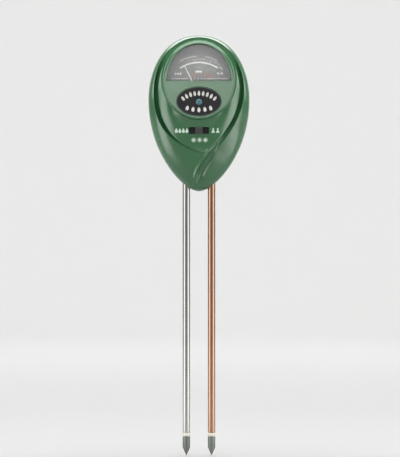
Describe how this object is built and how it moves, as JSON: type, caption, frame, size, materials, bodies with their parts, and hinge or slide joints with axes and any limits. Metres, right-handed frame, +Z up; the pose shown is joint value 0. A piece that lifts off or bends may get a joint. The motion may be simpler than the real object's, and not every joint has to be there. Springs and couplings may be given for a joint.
{
  "type": "soil moisture meter",
  "caption": "Hand-held analog soil meter: drop-shaped head with dial window, slide selector and two pointed metal probes.",
  "frame": {"origin": "midway between the two probe points, at their height, on the parting plane of the head", "axes": "+Z up along the probes, the dial faces -Y, +X to the right as seen from the front"},
  "size_m": [0.0674, 0.036, 0.28],
  "materials": {
    "green_plastic": "semi-gloss moulded",
    "clear_window": "polished clear plastic",
    "black_plate": "satin printed plate",
    "teal_lens": "polished",
    "black_plastic": "moulded",
    "grey_plastic": "moulded, ribbed",
    "dial_grey": "matt printed",
    "white_paint": "matt painted",
    "screw_steel": "zinc plated",
    "brass": "turned",
    "aluminium": "stamped",
    "iron": "dark sintered",
    "coil_copper": "enamelled wire",
    "board_green": "laminate",
    "cream_plastic": "moulded",
    "trimmer_blue": "moulded",
    "wire_red": "insulated wire",
    "wire_black": "insulated wire",
    "bright_steel": "bright drawn, nickel plated",
    "copper": "bright copper",
    "zinc": "turned zinc alloy"
  },
  "bodies": {
    "housing": {"front_shell": "green_plastic", "rear_cover": "green_plastic", "dial_window": "clear_window", "nameplate": "black_plate", "sensor_lens": "teal_lens", "photocell": "black_plastic", "movement_frame": "black_plastic", "switch_body": "black_plastic", "probe_clamp": "black_plastic", "dial_plate": "dial_grey", "case_screw_1": "screw_steel", "case_screw_2": "screw_steel", "case_screw_3": "screw_steel", "movement_screw_left": "screw_steel", "movement_screw_right": "screw_steel", "clamp_screw_left": "screw_steel", "clamp_screw_right": "screw_steel", "dial_screw_left": "brass", "dial_screw_right": "brass", "bridge_screw_left": "brass", "bridge_screw_right": "brass", "stop_pin_left": "brass", "stop_pin_right": "brass", "probe_lug_left": "brass", "probe_lug_right": "brass", "probe_rod_left": "brass", "probe_rod_right": "brass", "core_pin_top": "brass", "core_pin_bottom": "brass", "jewel_screw_front": "brass", "jewel_screw_rear": "brass", "hairspring_front": "brass", "hairspring_rear": "brass", "front_bridge": "aluminium", "return_ring": "iron", "core_magnet": "iron", "circuit_board": "board_green", "probe_collar_left": "cream_plastic", "probe_collar_right": "cream_plastic", "probe_sleeve_left": "cream_plastic", "probe_sleeve_right": "cream_plastic", "shunt_resistor": "cream_plastic", "trimmer": "trimmer_blue", "probe_wire_left": "wire_red", "coil_wire_left": "wire_red", "cell_wire_left": "wire_red", "probe_wire_right": "wire_black", "coil_wire_right": "wire_black", "cell_wire_right": "wire_black", "probe_tube_left": "bright_steel", "probe_tube_right": "copper", "probe_tip_left": "zinc", "probe_tip_right": "zinc"},
    "selector": {"switch_knob": "grey_plastic", "switch_wiper": "brass"},
    "needle": {"moving_coil": "coil_copper", "pivot_front": "screw_steel", "pivot_rear": "screw_steel", "pointer": "white_paint", "balance_weight": "brass"}
  },
  "joints": [
    {"name": "selector_slide", "type": "slide", "parent": "housing", "child": "selector", "axis": [1, 0, 0], "range_m": [-0.004, 0.004]},
    {"name": "needle_swing", "type": "hinge", "parent": "housing", "child": "needle", "pos_m": [0, 0, 0.2397], "axis": [0, 1, 0], "range_deg": [-5, 61], "stiffness_Nm_per_rad": 0.0002, "deforming": ["hairspring_front", "hairspring_rear"]}
  ]
}
